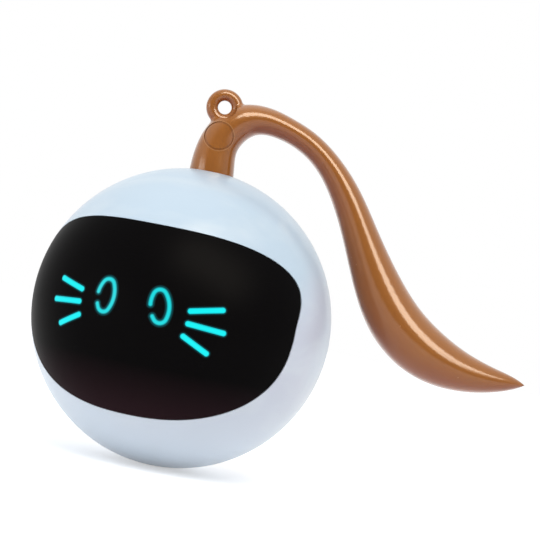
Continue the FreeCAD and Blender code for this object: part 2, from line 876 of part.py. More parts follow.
def gearbox_cover():
    outer = rounded_triangle(gearbox_r + cover_wall, motor_x, -plate_outer_x)
    ears = [along_x(cover_ear_r, y, z, motor_x, -plate_outer_x) for y, z in cover_screw_places()]
    sleeve = motor_section(sleeve_clearance + sleeve_wall, motor_x - sleeve_length, motor_x)
    cover = outer.multiFuse(ears + [sleeve])
    cuts = [rounded_triangle(gearbox_r, cover_x, -plate_outer_x)]
    cuts.append(motor_section(sleeve_clearance, motor_x - sleeve_length, motor_x))
    cuts.append(along_x(motor_boss_r + sleeve_clearance, 0, 0, motor_x, cover_x))
    for y, z in (AXIS_1, AXIS_2):
        cuts.append(along_x(pin_r, y, z, cover_x - cover_wall / 2, cover_x))
    for y, z in cover_screw_places():
        cuts.append(along_x(cover_screw_r + screw_clearance, y, z, motor_x, -plate_outer_x))
    return cover.cut(cuts).removeSplitter()


def cover_screws():
    screws = []
    for y, z in cover_screw_places():
        head = along_x(cover_head_r, y, z, motor_x - small_head_height, motor_x)
        shank = along_x(cover_screw_r, y, z, motor_x, -plate_inner_x)
        screws.append(head.fuse(shank).removeSplitter())
    return Part.makeCompound(screws)


# Chassis, axle and weight


def window_places():
    """In front of the axle, one above it and one below."""
    out = plate_r - window_rim - window_r
    turn = math.radians(window_angle)
    return [(out * math.cos(turn), way * out * math.sin(turn)) for way in (-1, 1)]


def chassis_frame():
    pieces = []
    for side in (-1, 1):
        low, high = sorted((side * plate_inner_x, side * plate_outer_x))
        plate = along_x(plate_r, 0, 0, low, high)
        plate = plate.common(box((low, high), (plate_front_y, reach), (-reach, reach)))
        for y, z in window_places():
            plate = plate.cut(along_x(window_r, y, z, low, high))
        pieces.append(plate)
        for z in (-shell_screw_z, shell_screw_z):
            pieces.append(chassis_ear(side, z))
    pieces += chassis_bars() + [cell_tray()]
    frame = fuse_all(pieces)
    cuts = [along_x(bush_r + bush_wall, 0, 0, -plate_outer_x, plate_outer_x)]
    for y, z in (AXIS_1, AXIS_2):
        cuts.append(along_x(pin_r, y, z, -plate_outer_x, -plate_inner_x))
    for y, z in cover_screw_places():
        cuts.append(along_x(cover_screw_r, y, z, -plate_outer_x, -plate_inner_x))
    for y in strap_screw_places():
        cuts.append(along_x(small_screw_r, y, 0, plate_inner_x, plate_outer_x))
    return frame.cut(cuts).removeSplitter()


def chassis_ear(side, z):
    """Tab from a side plate to a shell screw, clamped between the shells' bosses."""
    x = side * shell_screw_x
    start = side * (plate_inner_x + plate_wall / 2)
    low, high = sorted((start, x + side * ear_round))
    tab = box((low, high), (-ear_half_y, ear_half_y), (z - ear_half_z, z + ear_half_z))
    ends = [e for e in tab.Edges if abs(e.tangentAt(e.FirstParameter).y) > 0.99
            and abs(e.CenterOfMass.x) > shell_screw_x]
    tab = tab.makeFillet(ear_round, ends)
    return tab.cut(along_y(shell_screw_r + screw_clearance, x, z, -reach, reach))


def chassis_bars():
    """Bars that tie the side plates together outside the weight's swing."""
    across = (-plate_outer_x, plate_outer_x)
    wide = (-bar_half_width, bar_half_width)
    return [
        box(across, wide, (bar_inner, bar_outer)),
        box(across, wide, (-bar_outer, -bar_inner)),
        box(across, (bar_inner, bar_outer), wide),
    ]


def cell_tray():
    """Rim on the right plate, which the battery lies in."""
    y = cell_y / 2 + cell_clearance
    z = cell_z / 2 + cell_clearance
    height = (plate_outer_x, plate_outer_x + tray_height)
    rim = box(height, (-y - tray_wall, y + tray_wall), (-z - tray_wall, z + tray_wall))
    rim = rim.cut(box(height, (-y, y), (-z, z)))
    notch = strap_half_z + tray_notch_play
    return rim.cut(box(height, (-reach, reach), (-notch, notch)))


def drive_axle():
    start = gear_plane_x[0]
    axle = along_x(axle_r, 0, 0, start, axle_end_right)
    flats = [box((start, -plate_outer_x), (-axle_r, axle_r), (axle_flat, axle_r + 1)),
             box((-hub_half, hub_half), (-axle_r, axle_r), (axle_flat, axle_r + 1))]
    return axle.cut(flats)


def bush(side):
    """Flanged bearing, its flange between the plate and the carrier's hub."""
    outer = side * plate_outer_x
    inner = side * plate_inner_x
    flange = side * (plate_inner_x - bush_flange)
    body = along_x(bush_r + bush_wall, 0, 0, *sorted((inner, outer)))
    body = body.fuse(along_x(bush_flange_r, 0, 0, *sorted((flange, inner))))
    return body.cut(along_x(bush_r, 0, 0, *sorted((flange, outer)))).removeSplitter()


def sector(half_width, low_r, high_r, half_angle, bevel=0.0):
    """Slice of a ring round the X axis, hanging straight down, its rim bevelled."""
    start = math.radians(-90 - half_angle)
    ways = [(-half_width, low_r), (half_width, low_r), (half_width, high_r - bevel)]
    if bevel:
        ways += [(half_width - bevel, high_r), (bevel - half_width, high_r)]
    ways.append((-half_width, high_r - bevel))
    face = polygon_face([V(x, r * math.cos(start), r * math.sin(start)) for x, r in ways])
    return face.revolve(CENTRE, X, 2 * half_angle)


def rivet_places():
    spots = []
    for way in (-1, 1):
        turn = math.radians(-90 + way * rivet_angle)
        spots.append((rivet_at_r * math.cos(turn), rivet_at_r * math.sin(turn)))
    return spots


def weight_carrier():
    web = sector(carrier_half_width, axle_r, carrier_reach, carrier_half_angle)
    hub = along_x(hub_r, 0, 0, -hub_half, hub_half)
    carrier = web.fuse(hub).cut(d_shape(-hub_half, hub_half))
    for y, z in rivet_places():
        carrier = carrier.cut(along_x(rivet_r, y, z, -reach, reach))
    return carrier.removeSplitter()


def eccentric_weight():
    block = sector(weight_half_width, weight_inner_r, weight_outer_r, weight_half_angle, weight_bevel)
    slot = sector(carrier_half_width + slot_play, slot_inner_r, carrier_reach + slot_play,
                  carrier_half_angle + 1)
    holes = [along_x(rivet_r, y, z, -reach, reach) for y, z in rivet_places()]
    return block.cut([slot] + holes)


def weight_rivets():
    rivets = []
    end = weight_half_width + rivet_head
    for y, z in rivet_places():
        shank = along_x(rivet_r, y, z, -end, end)
        heads = [along_x(rivet_head_r, y, z, weight_half_width, end),
                 along_x(rivet_head_r, y, z, -end, -weight_half_width)]
        rivets.append(shank.multiFuse(heads).removeSplitter())
    return Part.makeCompound(rivets)


# Battery


def battery_cell():
    low, high = cell_low_x, cell_low_x + cell_x
    cell = box((low, high), (-cell_y / 2, cell_y / 2), (-cell_z / 2, cell_z / 2))
    long_edges = [e for e in cell.Edges if abs(e.tangentAt(e.FirstParameter).z) > 0.99]
    return cell.makeFillet(cell_round, long_edges)


def battery_pad():
    half_y, half_z = cell_y / 2 - cell_round, cell_z / 2 - cell_round
    return box((plate_outer_x, cell_low_x), (-half_y, half_y), (-half_z, half_z))


def strap_screw_places():
    y = cell_y / 2 + cell_clearance + strap_wall + strap_foot / 2
    return [-y, y]


def battery_strap():
    """Flat strap over the cell with a leg and a screwed foot at each side."""
    top = cell_low_x + cell_x
    leg_y = cell_y / 2 + cell_clearance
    wide = (-strap_half_z, strap_half_z)
    outer_y = leg_y + strap_wall
    pieces = [box((top, top + strap_wall), (-outer_y, outer_y), wide)]
    for side in (-1, 1):
        leg = sorted((side * leg_y, side * outer_y))
        foot = sorted((side * leg_y, side * (outer_y + strap_foot)))
        pieces.append(box((plate_outer_x, top), leg, wide))
        pieces.append(box((plate_outer_x, plate_outer_x + strap_wall), foot, wide))
    strap = fuse_all(pieces)
    hole_r = small_screw_r + screw_clearance
    holes = [along_x(hole_r, y, 0, 0, reach) for y in strap_screw_places()]
    return strap.cut(holes)


def strap_screws():
    screws = []
    seat = plate_outer_x + strap_wall
    for y in strap_screw_places():
        head = along_x(small_head_r, y, 0, seat, seat + small_head_height)
        shank = along_x(small_screw_r, y, 0, plate_inner_x, seat)
        screws.append(head.fuse(shank).removeSplitter())
    return Part.makeCompound(screws)


# Main board and what is on it


def main_board():
    board = rounded_slab(main_board_half_x, main_board_half_z, main_board_corner,
                         main_board_y - main_board_wall, main_board_y)
    holes = [along_y(small_screw_r + screw_clearance, x, z, 0, reach)
             for x in (-board_screw_x, board_screw_x) for z in (-board_screw_z, board_screw_z)]
    return board.cut(holes)


def board_screws():
    head_y = main_board_y - main_board_wall
    screws = [small_screw(x, z, head_y, 1)
              for x in (-board_screw_x, board_screw_x) for z in (-board_screw_z, board_screw_z)]
    return Part.makeCompound(screws)


def board_chips():
    blocks = []
    for (x, z), (dx, dy, dz) in chips:
        blocks.append(box((x - dx / 2, x + dx / 2), (main_board_y, main_board_y + dy),
                          (z - dz / 2, z + dz / 2)))
    return Part.makeCompound(blocks)


def port_slab(grow, y_low, y_high):
    """Flat-sided slot with round ends, the charging port's outline."""
    half_x, half_z = port_half_x + grow, port_half_z + grow
    run = half_x - half_z
    middle = box((-run, run), (y_low, y_high), (port_z - half_z, port_z + half_z))
    ends = [along_y(half_z, side * run, port_z, y_low, y_high) for side in (-1, 1)]
    return middle.multiFuse(ends).removeSplitter()


def charge_port_shell():
    end = main_board_y + port_length
    tube = port_slab(0, main_board_y, end)
    return tube.cut(port_slab(-port_wall, main_board_y + port_wall, end))


def charge_port_tongue():
    floor = main_board_y + port_wall
    return box((-tongue_half_x, tongue_half_x), (floor, floor + tongue_length),
               (port_z - tongue_half_z, port_z + tongue_half_z))


def switch_body():
    block = box((-switch_half, switch_half), (main_board_y, switch_top_y),
                (button_z - switch_half, button_z + switch_half))
    well = plunger_top_y - (switch_top_y - main_board_y) - button_travel
    return block.cut(along_y(plunger_r + plunger_play, 0, button_z, well, reach))


def switch_plunger():
    foot = plunger_top_y - switch_height + plunger_play
    return along_y(plunger_r, 0, button_z, foot, plunger_top_y)


def power_button():
    back = button_flange_y - button_flange
    cap = along_y(button_r, 0, button_z, back, reach).common(ball(ball_r + button_proud))
    flange = along_y(button_flange_r, 0, button_z, back, button_flange_y)
    stem = along_y(button_stem_r, 0, button_z, plunger_top_y, back)
    return cap.multiFuse([flange, stem]).removeSplitter()


def shell_screws():
    screws = []
    for x, z in screw_places():
        head = along_y(shell_head_r, x, z, shell_head_y, shell_head_y + shell_head_height)
        shank = along_y(shell_screw_r, x, z, -shell_screw_bite, shell_head_y)
        screws.append(head.fuse(shank).removeSplitter())
    return Part.makeCompound(screws)


def main():
    os.makedirs("parts", exist_ok=True)
    save("front_shell", front_shell())
    save("rear_shell", rear_shell())
    save("visor", visor())
    save("eye_light_guides", light_guides(eye_strokes(0)))
    save("whisker_light_guides", light_guides(whisker_strokes(0)))
    save("light_baffle", light_baffle())
    save("face_board", face_board())
    save("face_leds", face_leds())
    save("face_screws", face_screws())
    save("tail", tail())
    save("chassis_frame", chassis_frame())
    save("gearbox_cover", gearbox_cover())
    save("cover_screws", cover_screws())
    save("drive_motor", drive_motor())
    save("motor_end_cap", motor_end_cap())
    save("motor_terminals", motor_terminals())
    save("motor_shaft", motor_shaft())
    save("motor_pinion", motor_pinion())
    save("compound_gear_1", compound_gear_1())
    save("compound_gear_2", compound_gear_2())
    save("gear_pins", gear_pins())
    save("output_gear", output_gear())
    save("drive_axle", drive_axle())
    save("bush_left", bush(-1))
    save("bush_right", bush(1))
    save("weight_carrier", weight_carrier())
    save("eccentric_weight", eccentric_weight())
    save("weight_rivets", weight_rivets())
    save("battery_cell", battery_cell())
    save("battery_pad", battery_pad())
    save("battery_strap", battery_strap())
    save("strap_screws", strap_screws())
    save("main_board", main_board())
    save("board_screws", board_screws())
    save("board_chips", board_chips())
    save("charge_port_shell", charge_port_shell())
    save("charge_port_tongue", charge_port_tongue())
    save("switch_body", switch_body())
    save("switch_plunger", switch_plunger())
    save("power_button", power_button())
    save("shell_screws", shell_screws())


main()
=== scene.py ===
# %% [markdown]
# # A self-rolling cat ball
#
# The real toy is a glossy moulded ball about 70 mm across. A smoked visor fills its front, and
# eight little light guides shine through the visor as a cat's eyes and whiskers. A brown moulded
# tail plugs into the top. The CAD model already has every piece at its size and place, so this
# lesson gives the pieces their finishes, adds the few that are finer than CAD, and lights them.

import math

import bpy
from mathutils import Matrix, Vector


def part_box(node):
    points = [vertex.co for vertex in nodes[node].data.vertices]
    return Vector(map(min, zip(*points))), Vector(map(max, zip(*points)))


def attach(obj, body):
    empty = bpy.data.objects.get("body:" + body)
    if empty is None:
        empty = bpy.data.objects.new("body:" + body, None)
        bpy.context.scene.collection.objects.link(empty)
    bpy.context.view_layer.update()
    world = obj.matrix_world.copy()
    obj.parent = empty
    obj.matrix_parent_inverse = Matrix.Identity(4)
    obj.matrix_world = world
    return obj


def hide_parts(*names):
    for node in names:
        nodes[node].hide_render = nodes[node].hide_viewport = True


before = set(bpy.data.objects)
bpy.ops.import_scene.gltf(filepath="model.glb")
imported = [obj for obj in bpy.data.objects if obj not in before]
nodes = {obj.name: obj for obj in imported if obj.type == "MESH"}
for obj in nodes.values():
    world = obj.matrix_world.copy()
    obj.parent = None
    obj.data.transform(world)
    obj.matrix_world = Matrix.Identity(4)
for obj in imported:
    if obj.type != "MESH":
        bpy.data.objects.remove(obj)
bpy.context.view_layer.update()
print("CAD nodes:", len(nodes))

# %% [markdown]
# ## Sizes
#
# Blender works in metres, but a designer thinks in millimetres, so one helper turns one into the
# other. The ball's size and its centre are read from the frame and not typed in again.

# %% Sizes from the frame
def mm(length):
    return length * 0.001


shell_low, shell_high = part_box("rear_shell")
ball_r = (shell_high.x - shell_low.x) / 2
ball_centre = Vector((0, 0, shell_low.z + ball_r))
print("ball radius", round(ball_r * 1000, 2), "mm, centre", [round(v, 4) for v in ball_centre])

# %% [markdown]
# ## The camera
#
# The photograph was taken nearly level with the ball, a little from the tail's side, and the toy
# leans to the right in it. The model stands upright, so the camera is rolled instead. The lens
# and the distance come from how much the ball's outline and the tail's far end are enlarged.

# %% Camera at the photograph's angle
photo_size = 540
camera_azimuth = math.radians(18.79)
camera_elevation = math.radians(1.03)
camera_roll = math.radians(11.44)
camera_distance = 0.3909
focal_px = 1665.5
ball_px = Vector((181.9, 317.9))

towards_camera = Vector((
    math.sin(camera_azimuth) * math.cos(camera_elevation),
    -math.cos(camera_azimuth) * math.cos(camera_elevation),
    math.sin(camera_elevation),
))
level_right = Vector((math.cos(camera_azimuth), math.sin(camera_azimuth), 0))
level_up = towards_camera.cross(level_right)
right = level_right * math.cos(camera_roll) + level_up * math.sin(camera_roll)
up = level_up * math.cos(camera_roll) - level_right * math.sin(camera_roll)
offset = (Vector((photo_size / 2, photo_size / 2)) - ball_px) / focal_px
forward = (right * offset.x - up * offset.y - towards_camera).normalized()
up = (up - forward * up.dot(forward)).normalized()
camera_axes = Matrix((forward.cross(up), up, -forward)).transposed().to_4x4()
camera_place = ball_centre + towards_camera * camera_distance

camera_data = bpy.data.cameras.new("photo_camera")
camera_data.sensor_width = 36
camera_data.lens = focal_px / photo_size * camera_data.sensor_width
camera_data.clip_start = 0.01
camera = bpy.data.objects.new("photo_camera", camera_data)
camera.matrix_world = Matrix.Translation(camera_place) @ camera_axes
bpy.context.collection.objects.link(camera)
bpy.context.scene.camera = camera
bpy.context.scene.view_settings.view_transform = "Standard"
print("lens", round(camera_data.lens, 1), "mm")

# %% [markdown]
# ## Helpers for materials
#
# A colour is written as the sRGB hex value that one would pick on a screen, and one function
# turns it to the linear values that the renderer works in. Another adds a node, sets it and wires
# it up, and a third starts a material, in which constants go straight to the surface's sockets.

# %% Colour and node helpers
def linear(hex_colour):
    """Linear values of an sRGB colour, by the curve of the sRGB standard."""
    channels = [int(hex_colour[i:i + 2], 16) / 255 for i in (1, 3, 5)]
    return [c / 12.92 if c <= 0.04045 else ((c + 0.055) / 1.055) ** 2.4 for c in channels] + [1.0]


def add(tree, kind, wires=None, **settings):
    """Adds a node with its settings, and gives each input that wires names a value or a wire."""
    node = tree.nodes.new(kind)
    for name, value in settings.items():
        setattr(node, name, value)
    for key, value in (wires or {}).items():
        if isinstance(value, bpy.types.NodeSocket):
            tree.links.new(value, node.inputs[key])
        else:
            node.inputs[key].default_value = value
    return node


def start_material(name, **surface):
    """A new material with one Principled surface, whose sockets take the values given."""
    material = bpy.data.materials.new(name)
    material.use_nodes = True
    tree = material.node_tree
    shader = tree.nodes["Principled BSDF"]
    for socket, value in surface.items():
        shader.inputs[socket.replace("_", " ")].default_value = value
    return material, tree, shader


def connect(tree, shader, wires):
    """Wires results to a surface's sockets."""
    for socket, result in wires.items():
        tree.links.new(result, shader.inputs[socket])


def dress(material, *names):
    """Gives CAD nodes their material."""
    for name in names:
        mesh = nodes[name].data
        mesh.materials.clear()
        mesh.materials.append(material)
        for face in mesh.polygons:
            face.material_index = 0
    print(material.name, "on", ", ".join(names))


# %% [markdown]
# Sums, mixes and patterns made of nodes get small functions of their own. Each gives back the wire
# that carries its result, so a longer sum reads like a line of arithmetic, and each material below
# reads as a list of its layers.

# %% Sums made of nodes
def number(tree, operation, *values):
    wires = dict(enumerate(values))
    return add(tree, "ShaderNodeMath", wires, operation=operation).outputs["Value"]


def vector_sum(tree, operation, *values):
    node = add(tree, "ShaderNodeVectorMath", dict(enumerate(values)), operation=operation)
    gives_number = operation in ("DOT_PRODUCT", "DISTANCE", "LENGTH")
    return node.outputs["Value" if gives_number else "Vector"]


def apart(tree, value, other):
    """How far two numbers lie apart."""
    return number(tree, "ABSOLUTE", number(tree, "SUBTRACT", value, other))


def upward_part(tree, vector):
    return add(tree, "ShaderNodeSeparateXYZ", {"Vector": vector}).outputs["Z"]


def grade(tree, value, start=0.0, end=1.0, first=0.0, last=1.0, kind="LINEAR"):
    """A number that goes from first to last while value goes from start to end."""
    wires = {"Value": value, "From Min": start, "From Max": end, "To Min": first, "To Max": last}
    return add(tree, "ShaderNodeMapRange", wires, interpolation_type=kind).outputs["Result"]


def blend(tree, share, under, over, kind="RGBA"):
    """Mix of two colours or, where kind is FLOAT, of two numbers."""
    wires = {"Factor": share, "A": under, "B": over}
    return add(tree, "ShaderNodeMix", wires, data_type=kind).outputs["Result"]


# %% Patterns made of nodes
def object_place(tree):
    """Where a spot lies on its piece. It moves with the piece, and so does the pattern."""
    return add(tree, "ShaderNodeTexCoord").outputs["Object"]


def per_metre(size_mm):
    """Pattern scale that gives features about this many millimetres across."""
    return 1 / mm(size_mm)


def noise(tree, place, size_mm, detail, **more):
    """Soft pattern with features about size_mm across."""
    wires = {"Vector": place, "Scale": per_metre(size_mm), "Detail": detail, **more}
    return add(tree, "ShaderNodeTexNoise", wires).outputs["Fac"]


def tint_run(tree, share, *stops, kind="LINEAR"):
    """Colour that runs through two or more stops, each a share and an sRGB colour."""
    node = add(tree, "ShaderNodeValToRGB", {"Fac": share})
    node.color_ramp.interpolation = kind
    first, *between, last = stops
    elements = node.color_ramp.elements
    for element, (at, colour) in zip(elements, (first, last)):
        element.position = at
        element.color = linear(colour)
    for at, colour in between:
        elements.new(at).color = linear(colour)
    return node.outputs["Color"]


def dents(tree, height, strength, depth_mm):
    """Normals of a surface that a pattern raises by up to depth_mm."""
    wires = {"Height": height, "Strength": strength, "Distance": mm(depth_mm)}
    return add(tree, "ShaderNodeBump", wires).outputs["Normal"]


# %% [markdown]
# ## Pearl ABS shells
#
# The shells are ABS, injection moulded in a polished tool with a pinch of pearl pigment. The eye
# sees a pale blue that drifts to lilac in a band below the middle, a soft gloss, and, close up,
# the faint orange peel of a moulded skin. A broad noise and the distance from that band mix the
# two tints, and the pearl gathers in paler drawn-out clouds where the plastic flowed. The foot of
# the ball is painted palest, a painted light that lifts the shade near the floor. The pearl's grain
# is too fine to show, so it only softens the gloss.

# %% Pearl ABS
lilac_height = ball_r * 0.65
# Heights where the painted light at the foot is full and where it is gone.
painted_light_foot_full, painted_light_foot_gone = mm(4), mm(26)
# Turn in radians and squeeze that draw the clouds out along the plastic's flow.
flow_turn, flow_squeeze = (0.5, 0.9, 0.0), (0.45, 1.0, 1.3)


def pearl_tint_and_foot_light(tree, place):
    """Pale blue and lilac, mixed by height and by a broad noise, with painted light at the foot."""
    height = upward_part(tree, place)
    from_band = apart(tree, height, lilac_height)
    tilt = grade(tree, from_band, end=ball_r, first=0.12, last=-0.16)
    share = number(tree, "ADD", noise(tree, place, size_mm=38, detail=1.0), tilt)
    tint = tint_run(tree, share, (0.38, "#C3D8EA"), (0.62, "#CED5E6"))
    # Painted light: the colour turns palest towards the foot, lifting the shade near the floor.
    foot = grade(tree, height, start=painted_light_foot_full, end=painted_light_foot_gone, first=0.95, last=0.0)
    return blend(tree, foot, tint, linear("#DBE9F8"))


def pearl_clouds(tree, place):
    """How much pearl has gathered at a spot."""
    drawn = add(tree, "ShaderNodeMapping", {
        "Vector": place, "Rotation": flow_turn, "Scale": flow_squeeze}).outputs["Vector"]
    cloud = noise(tree, drawn, size_mm=13, detail=3.0, Distortion=0.6)
    return grade(tree, cloud, start=0.46, end=0.72, last=0.45)


def pearl_abs():
    material, tree, shader = start_material("pearl_abs_gloss_moulded", IOR=1.54)
    place = object_place(tree)
    # The tint carries the painted light at the foot as well.
    tint = pearl_tint_and_foot_light(tree, place)
    grain = noise(tree, place, size_mm=0.35, detail=3.0)
    peel = noise(tree, place, size_mm=1.8, detail=2.0)
    connect(tree, shader, {
        "Base Color": blend(tree, pearl_clouds(tree, place), tint, linear("#DDE9F2")),
        "Roughness": grade(tree, grain, first=0.24, last=0.36),
        "Normal": dents(tree, peel, strength=0.05, depth_mm=0.1),
    })
    return material


dress(pearl_abs(), "front_shell", "rear_shell", "power_button")

# %% [markdown]
# ## Where the lit strokes are
#
# The eyes and whiskers light up the plastic round them, so two materials need to know how far a
# spot lies from the middle line of the nearest stroke. A whisker is a straight run between two
# places that are given by azimuth and elevation, as on a globe. An eye is an oval of four arcs
# with a gap at one side. The distances are worked out from those sizes with math nodes, so the
# glow follows the strokes exactly and needs no painted picture.

# %% Sizes of the strokes
stroke_half = mm(0.58)
# Azimuth and elevation of the inner and the outer end of each whisker on the right, in degrees.
whiskers = [
    ((21.3, 3.9), (32.65, 6.4)),
    ((21.3, -0.6), (34.4, -1.5)),
    ((20.5, -5.25), (29.9, -9.7)),
]
# Azimuth, elevation and lean of each eye, in degrees.
eyes = [(-10.4, 3.45, 0.0), (10.4, 3.45, 12.0)]
eye_half_width, eye_half_height = mm(2.05), mm(3.6)
eye_end_r = mm(1.5)
eye_gap_half, eye_gap_up = mm(1.3), mm(-0.8)
eye_end_up = eye_half_height - eye_end_r
eye_side_r = ((eye_half_width ** 2 + eye_end_up ** 2 - eye_end_r ** 2)
              / (2 * (eye_half_width - eye_end_r)))
eye_side_x = eye_side_r - eye_half_width
print("eye's side arcs have a radius of", round(eye_side_r * 1000, 2), "mm")


# %% Distances to the strokes
def facing(azimuth, elevation):
    """Outward, rightward and upward directions of a spot on the ball's front."""
    az, el = math.radians(azimuth), math.radians(elevation)
    out = Vector((math.sin(az) * math.cos(el), -math.cos(az) * math.cos(el), math.sin(el)))
    across = Vector((math.cos(az), math.sin(az), 0))
    return out, across, out.cross(across)


def whisker_distance(tree, spot, inner, outer):
    """Distance of a spot, given from the ball's centre, to the run between two places."""
    start = facing(*inner)[0] * ball_r
    run = facing(*outer)[0] * ball_r - start
    along = vector_sum(tree, "SUBTRACT", spot, start)
    share = vector_sum(tree, "DOT_PRODUCT", along, run / run.length_squared)
    held = number(tree, "MINIMUM", number(tree, "MAXIMUM", share, 0.0), 1.0)
    held = add(tree, "ShaderNodeCombineXYZ", {"X": held, "Y": held, "Z": held})
    nearest = vector_sum(tree, "MULTIPLY", held.outputs["Vector"], run)
    return vector_sum(tree, "DISTANCE", along, nearest)


def oval_distance(tree, flat):
    """Distance of a spot, given across and up from an eye's middle, to its closed oval."""
    corner = vector_sum(tree, "ABSOLUTE", flat)
    to_end = vector_sum(tree, "DISTANCE", corner, Vector((0, eye_end_up, 0)))
    to_side = vector_sum(tree, "DISTANCE", corner, Vector((-eye_side_x, 0, 0)))
    off_end = apart(tree, to_end, eye_end_r)
    off_side = apart(tree, to_side, eye_side_r)
    which = vector_sum(tree, "DOT_PRODUCT", corner, Vector((-eye_end_up, eye_side_x, 0)))
    at_end = number(tree, "GREATER_THAN", which, eye_side_x * eye_end_up)
    return blend(tree, at_end, off_side, off_end, kind="FLOAT")


def eye_distance(tree, spot, azimuth, elevation, lean):
    """Distance of a spot to the middle line of an eye's open oval."""
    level, upright = facing(azimuth, elevation)[1:]
    tilt = math.radians(lean)
    across = vector_sum(
        tree, "DOT_PRODUCT", spot, level * math.cos(tilt) + upright * math.sin(tilt))
    along = vector_sum(
        tree, "DOT_PRODUCT", spot, upright * math.cos(tilt) - level * math.sin(tilt))
    flat = add(tree, "ShaderNodeCombineXYZ", {"X": across, "Y": along}).outputs["Vector"]
    tips = []
    for tip_up in (eye_gap_up + eye_gap_half, eye_gap_up - eye_gap_half):
        tip_x = eye_side_x - math.sqrt(eye_side_r ** 2 - tip_up ** 2)
        tips.append(vector_sum(tree, "DISTANCE", flat, Vector((tip_x, tip_up, 0))))
    to_tip = number(tree, "MINIMUM", *tips)
    beside = number(tree, "LESS_THAN", apart(tree, along, eye_gap_up), eye_gap_half)
    in_gap = number(tree, "MULTIPLY", beside, number(tree, "LESS_THAN", across, 0.0))
    return blend(tree, in_gap, oval_distance(tree, flat), to_tip, kind="FLOAT")


def stroke_distance(tree):
    """Distance to the nearest of all the strokes."""
    spot = vector_sum(tree, "SUBTRACT", object_place(tree), ball_centre)
    distances = [eye_distance(tree, spot, *eye) for eye in eyes]
    for side in (-1, 1):
        for inner, outer in whiskers:
            ends = [(side * azimuth, elevation) for azimuth, elevation in (inner, outer)]
            distances.append(whisker_distance(tree, spot, *ends))
    nearest = distances[0]
    for distance in distances[1:]:
        nearest = number(tree, "MINIMUM", nearest, distance)
    return nearest


# %% [markdown]
# ## Lit light guides
#
# Each eye and whisker is a stick of opal acrylic with a diode under it, polished flush with the
# visor. Seen from outside it is an even cyan glow that falls off a little towards its rim. The
# light comes from the emission alone, so the colour stays as it is written. The photograph shows
# the eyes dimmer and thinner than the whiskers, so their glow falls off sooner and goes darker.

# %% Opal light guides
def lit_guide(name, core, rim, core_share):
    """Glows in the colour core up to core_share of a stroke's half width, then fades to rim."""
    material, tree, shader = start_material(
        name, Base_Color=linear("#04181A"), Roughness=0.25, IOR=1.49, Specular_IOR_Level=0.1,
        Emission_Strength=1.0)
    off_middle = grade(tree, stroke_distance(tree), end=stroke_half)
    glow = tint_run(tree, off_middle, (core_share, core), (1.0, rim))
    connect(tree, shader, {"Emission Color": glow})
    return material


whisker_opal = lit_guide("opal_pmma_whisker_lit", core="#10F4F8", rim="#0CC4CC", core_share=0.6)
eye_opal = lit_guide("opal_pmma_eye_lit", core="#1CDCE2", rim="#075860", core_share=0.35)
dress(whisker_opal, "whisker_light_guides")
dress(eye_opal, "eye_light_guides")

# %% [markdown]
# ## Smoked visor
#
# The visor is acrylic, dyed so dark that nothing behind it shows. It is moulded with a polished
# face that is dulled a little by a hard coat, so it mirrors the studio only faintly. Light leaks
# sideways out of each stroke into the plastic and makes a thin teal halo, which the distance
# worked out above gives. Its lower part is painted a warmer, lighter brown, a painted light where
# the studio's light falls on it from below.

# %% Smoked acrylic
# Heights below which the visor's painted warm light is full and above which it is gone.
visor_painted_light_low, visor_painted_light_high = mm(12), mm(24)
halo_width = mm(0.5)


def smoked_acrylic():
    material, tree, shader = start_material(
        "smoked_pmma_hard_coated", IOR=1.49, Specular_IOR_Level=0.013, Emission_Strength=1.0)
    place = object_place(tree)
    # Painted light: the base colour is warmer and lighter towards the bottom.
    painted_light_fade = grade(tree, upward_part(tree, place), start=visor_painted_light_low, end=visor_painted_light_high)
    smear = noise(tree, place, size_mm=22, detail=2.0)
    beyond = grade(tree, stroke_distance(tree), start=stroke_half, end=stroke_half + halo_width)
    connect(tree, shader, {
        "Base Color": tint_run(tree, painted_light_fade, (0.0, "#2A1B20"), (1.0, "#0B0A0B")),
        "Roughness": grade(tree, smear, first=0.32, last=0.42),
        "Emission Color": tint_run(tree, beyond, (0.0, "#0A4A50"), (1.0, "#000000"), kind="EASE"),
    })
    return material


dress(smoked_acrylic(), "visor")

# %% [markdown]
# ## The tail's brown polypropylene
#
# The tail is one solid moulding in polypropylene with a bronze pearl in it. The mould polishes its
# skin, so a hard cream-coloured light runs along the shoulder: that is the clear coat. The pearl
# just under the skin spreads a softer golden light beside it: that is the tinted layer below the
# coat. The pigment's tone wanders with the plastic's flow, and over it is painted light and shade:
# golden where the tail faces up, redder and darker underneath. A few pearl flakes are painted pale
# as painted glints. The mould's parting line runs all round in the tail's own plane as a fine
# raised bead, and the shallow round mark that the mould left on the neck has a painted shade line
# in its groove and a painted highlight on its rim.

# %% Sizes of the tail's marks
# The tail's own plane stands upright, turned by this much towards the camera.
tail_turn = math.radians(18.7)
tail_normal = Vector((math.sin(tail_turn), -math.cos(tail_turn), 0))
bead_half = mm(0.12)
# Height of the grain in the skin, as a share of the bead's.
grain_share = 0.1
mark_centre = Vector((0, 0, mm(78.2)))
mark_r = mm(3.22)
# Radius, half width, strength and colour of the painted shade in the round mark's groove and of the
# painted highlight on the rim beyond it.
mark_shade_and_highlight = [(mark_r, mm(0.22), 0.25, "#5A3216"), (mark_r + mm(0.32), mm(0.16), 0.3, "#D6A878")]
# Spacing of the flakes in mm, their radius as a share of it, and the share that gets no painted
# glint.
flake_spacing, flake_r, flakes_without_glint = 1.6, 0.055, 0.82


# %% Bronze polypropylene
def thin_line(tree, distance, half_width):
    """One where a distance is nothing, falling softly to nothing at half_width."""
    off = number(tree, "ABSOLUTE", distance)
    return grade(tree, off, end=half_width, first=1.0, last=0.0, kind="SMOOTHSTEP")


